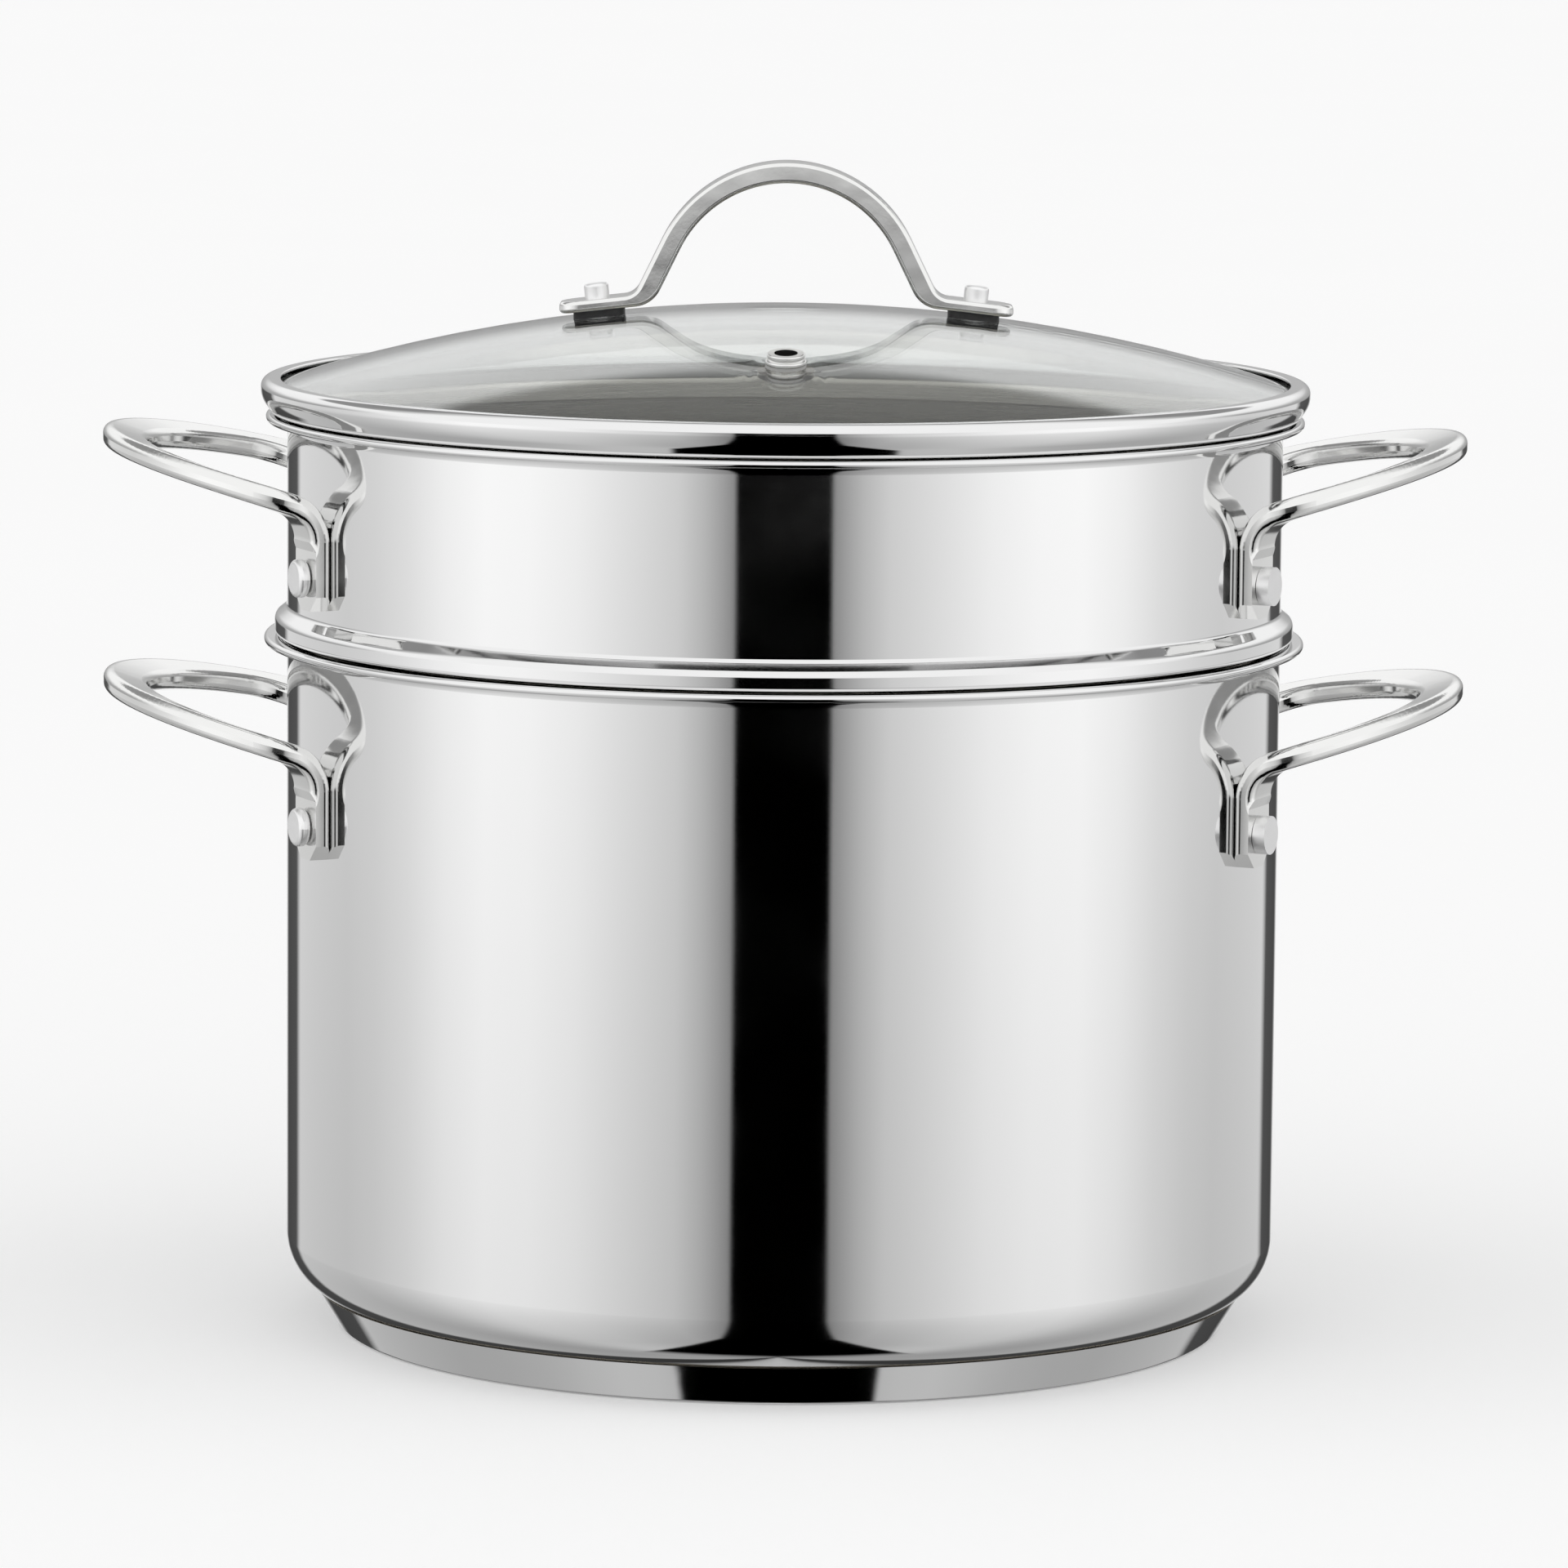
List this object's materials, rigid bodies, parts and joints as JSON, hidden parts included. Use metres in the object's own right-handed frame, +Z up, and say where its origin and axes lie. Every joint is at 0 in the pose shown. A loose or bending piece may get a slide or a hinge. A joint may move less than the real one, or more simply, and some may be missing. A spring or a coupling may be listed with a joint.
{
  "type": "water bath canner",
  "caption": "Two-tier stainless canning pot: a pot with loop handles, a perforated jar insert that rests on its rim and lifts out, and a domed glass lid with an arched handle and vent.",
  "frame": {"origin": "centre of the base's underside, on the surface the pot stands on", "axes": "+Z up along the pot's axis; the loop handles lie along X; the lid's vent faces -Y"},
  "size_m": [0.3586, 0.2756, 0.3076],
  "materials": {
    "polished_steel": "mirror-polished stainless steel",
    "handle_steel": "polished cast stainless steel",
    "rivet_aluminium": "satin white aluminium",
    "core_aluminium": "plain, sealed inside the base",
    "lid_glass": "clear tempered glass",
    "seal_silicone": "translucent white silicone",
    "gasket_black": "black silicone, matte"
  },
  "bodies": {
    "pot": {"pot_shell": "polished_steel", "base_core": "core_aluminium", "base_cap": "polished_steel", "pot_handle_left": "handle_steel", "pot_handle_right": "handle_steel", "pot_rivets_left": "rivet_aluminium", "pot_rivets_right": "rivet_aluminium"},
    "insert": {"insert_shell": "polished_steel", "insert_handle_left": "handle_steel", "insert_handle_right": "handle_steel", "insert_rivets_left": "rivet_aluminium", "insert_rivets_right": "rivet_aluminium"},
    "lid": {"lid_glass": "lid_glass", "lid_band": "polished_steel", "lid_seal": "seal_silicone", "lid_handle": "handle_steel", "lid_handle_gaskets": "gasket_black", "lid_rivets": "rivet_aluminium", "lid_bushings": "seal_silicone", "lid_washers": "rivet_aluminium", "vent_eyelet": "handle_steel", "vent_gasket": "seal_silicone", "vent_washer": "polished_steel"}
  },
  "joints": [
    {"name": "insert_lift", "type": "slide", "parent": "pot", "child": "insert", "axis": [0, 0, 1], "range_m": [0, 0.19]},
    {"name": "lid_lift", "type": "slide", "parent": "insert", "child": "lid", "axis": [0, 0, 1], "range_m": [0, 0.12]}
  ]
}
